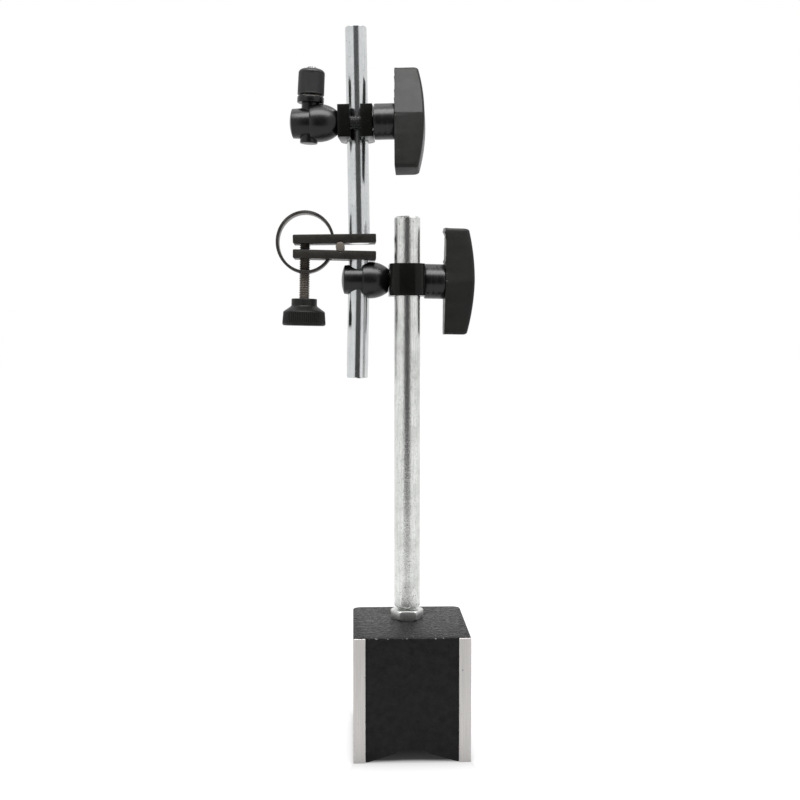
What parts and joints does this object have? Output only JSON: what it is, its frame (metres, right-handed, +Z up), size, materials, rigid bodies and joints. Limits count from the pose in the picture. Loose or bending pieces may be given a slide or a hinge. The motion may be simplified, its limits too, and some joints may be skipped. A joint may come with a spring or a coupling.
{
  "type": "magnetic base indicator stand",
  "caption": "Magnetic-base stand with a switch, an upright post, two rod clamps with swivels, a fine-adjusting rocker arm and a thumb-nut holder for a dial indicator.",
  "frame": {"origin": "middle of the base's underside, where the V groove's centre plane crosses it", "axes": "+Z up along the post, -Y out of the plain magnetic face, +Y out of the switch face, +X across the pole pieces towards the wing knobs"},
  "size_m": [0.092, 0.074, 0.3285],
  "materials": {
    "base_iron": "black crackle enamel, with the magnetic faces ground bright",
    "brass": "plain turned",
    "plain_steel": "turned steel",
    "magnet": "unfinished magnet and iron shoes",
    "zinc_fastener": "satin zinc plate",
    "post_zinc": "zinc plate with fine specks and a light orange peel",
    "rod_zinc": "bright zinc plate",
    "black_steel": "satin black oxide",
    "rocker_steel": "black oxide with a brown cast",
    "spring_steel": "blued spring steel",
    "black_plastic": "moulded, matte",
    "knurled_black": "finely knurled, matte black"
  },
  "bodies": {
    "base": {"pole_left": "base_iron", "pole_right": "base_iron", "pole_spacer": "brass", "bore_bush": "plain_steel", "stop_pin": "plain_steel", "jam_nut": "zinc_fastener"},
    "switch": {"rotor_magnet": "magnet", "rotor_shoes": "magnet", "rotor_hub": "brass", "switch_knob": "black_plastic", "switch_screw": "zinc_fastener"},
    "post": {"post_stud": "zinc_fastener", "post_rod": "post_zinc"},
    "lower_clamp": {"lower_clamp": "black_steel"},
    "lower_swivel": {"lower_draw_bolt": "black_steel", "lower_cup": "black_steel"},
    "lower_knob": {"lower_collar": "black_steel", "lower_wing_knob": "black_plastic", "lower_knob_insert": "brass"},
    "lower_rod": {"lower_rod": "rod_zinc"},
    "lower_arm": {"lower_plate": "rocker_steel", "fulcrum_pin": "rocker_steel", "ring_spring": "spring_steel"},
    "fine_screw": {"fine_screw": "rocker_steel"},
    "fine_knob": {"fine_knob": "black_plastic"},
    "rocker": {"upper_plate": "rocker_steel"},
    "upper_rod": {"upper_rod": "rod_zinc"},
    "upper_clamp": {"upper_clamp": "black_steel"},
    "upper_swivel": {"upper_draw_bolt": "black_steel", "upper_cup": "black_steel"},
    "upper_knob": {"upper_collar": "black_steel", "upper_wing_knob": "black_plastic", "upper_knob_insert": "brass"},
    "holder_pin": {"holder_pin": "black_steel"},
    "nut_core": {"nut_insert": "brass"},
    "thumb_nut": {"thumb_nut": "knurled_black"}
  },
  "joints": [
    {"name": "switch_turn", "type": "hinge", "parent": "base", "child": "switch", "pos_m": [0, 0, 0.03], "axis": [0, 1, 0], "range_deg": [0, 90]},
    {"name": "post_turn", "type": "hinge", "parent": "base", "child": "post", "pos_m": [-0.0006, 0.008, 0.1], "axis": [0, 0, 1], "continuous": true},
    {"name": "lower_clamp_slide", "type": "slide", "parent": "post", "child": "lower_clamp", "axis": [0, 0, 1], "range_m": [-0.016, 0.02]},
    {"name": "lower_swivel_turn", "type": "hinge", "parent": "lower_clamp", "child": "lower_swivel", "pos_m": [-0.0006, 0.0175, 0.212], "axis": [0.9998, 0, -0.0192], "range_deg": [-135, 135]},
    {"name": "lower_knob_turn", "type": "hinge", "parent": "lower_swivel", "child": "lower_knob", "pos_m": [0.0194, 0.0175, 0.21162], "axis": [0.9998, 0, -0.0192], "range_deg": [-180, 180]},
    {"name": "lower_rod_slide", "type": "slide", "parent": "lower_swivel", "child": "lower_rod", "axis": [0.0192, 0, 0.9998], "range_m": [0, 0.035]},
    {"name": "lower_rod_turn", "type": "hinge", "parent": "lower_rod", "child": "lower_arm", "pos_m": [-0.02252, 0.0175, 0.22152], "axis": [0.0192, 0, 0.9998], "range_deg": [-90, 90]},
    {"name": "rocker_tilt", "type": "hinge", "parent": "lower_arm", "child": "rocker", "pos_m": [-0.03131, 0.0175, 0.22739], "axis": [0, 1, 0], "range_deg": [-2, 4], "deforming": ["ring_spring"]},
    {"name": "fine_screw_travel", "type": "slide", "parent": "lower_arm", "child": "fine_screw", "axis": [0.0192, 0, 0.9998], "range_m": [-0.0006, 0.0012]},
    {"name": "fine_knob_spin", "type": "hinge", "parent": "fine_screw", "child": "fine_knob", "pos_m": [-0.04822, 0.0175, 0.20091], "axis": [0.0192, 0, 0.9998], "range_deg": [-255, 510]},
    {"name": "upper_rod_turn", "type": "hinge", "parent": "rocker", "child": "upper_rod", "pos_m": [-0.02324, 0.0175, 0.28362], "axis": [-0.0148, 0, 0.9999], "continuous": true},
    {"name": "upper_clamp_slide", "type": "slide", "parent": "upper_rod", "child": "upper_clamp", "axis": [-0.0148, 0, 0.9999], "range_m": [-0.012, 0.034]},
    {"name": "upper_swivel_turn", "type": "hinge", "parent": "upper_clamp", "child": "upper_swivel", "pos_m": [-0.02398, 0.00903, 0.28361], "axis": [0.9961, -0.0872, 0.0148], "continuous": true},
    {"name": "upper_knob_turn", "type": "hinge", "parent": "upper_swivel", "child": "upper_knob", "pos_m": [-0.02398, 0.00903, 0.28361], "axis": [0.9961, -0.0872, 0.0148], "range_deg": [-180, 180]},
    {"name": "holder_pin_slide", "type": "slide", "parent": "upper_swivel", "child": "holder_pin", "axis": [0.0477, -0.0055, 0.9988], "range_m": [0, 0.002]},
    {"name": "nut_lift", "type": "slide", "parent": "holder_pin", "child": "nut_core", "axis": [0.0477, -0.0055, 0.9988], "range_m": [0, 0.006]},
    {"name": "thumb_nut_spin", "type": "hinge", "parent": "nut_core", "child": "thumb_nut", "pos_m": [-0.0445, 0.01081, 0.29578], "axis": [0.0477, -0.0055, 0.9988], "range_deg": [-30, 2730]}
  ],
  "couplings": [
    {"joint": "fine_screw_travel", "follows": "fine_knob_spin", "m_per_rad": 0.00012732},
    {"joint": "rocker_tilt", "follows": "fine_knob_spin", "ratio": 0.0077637},
    {"joint": "thumb_nut_spin", "follows": "nut_lift", "rad_per_m": 7854}
  ]
}
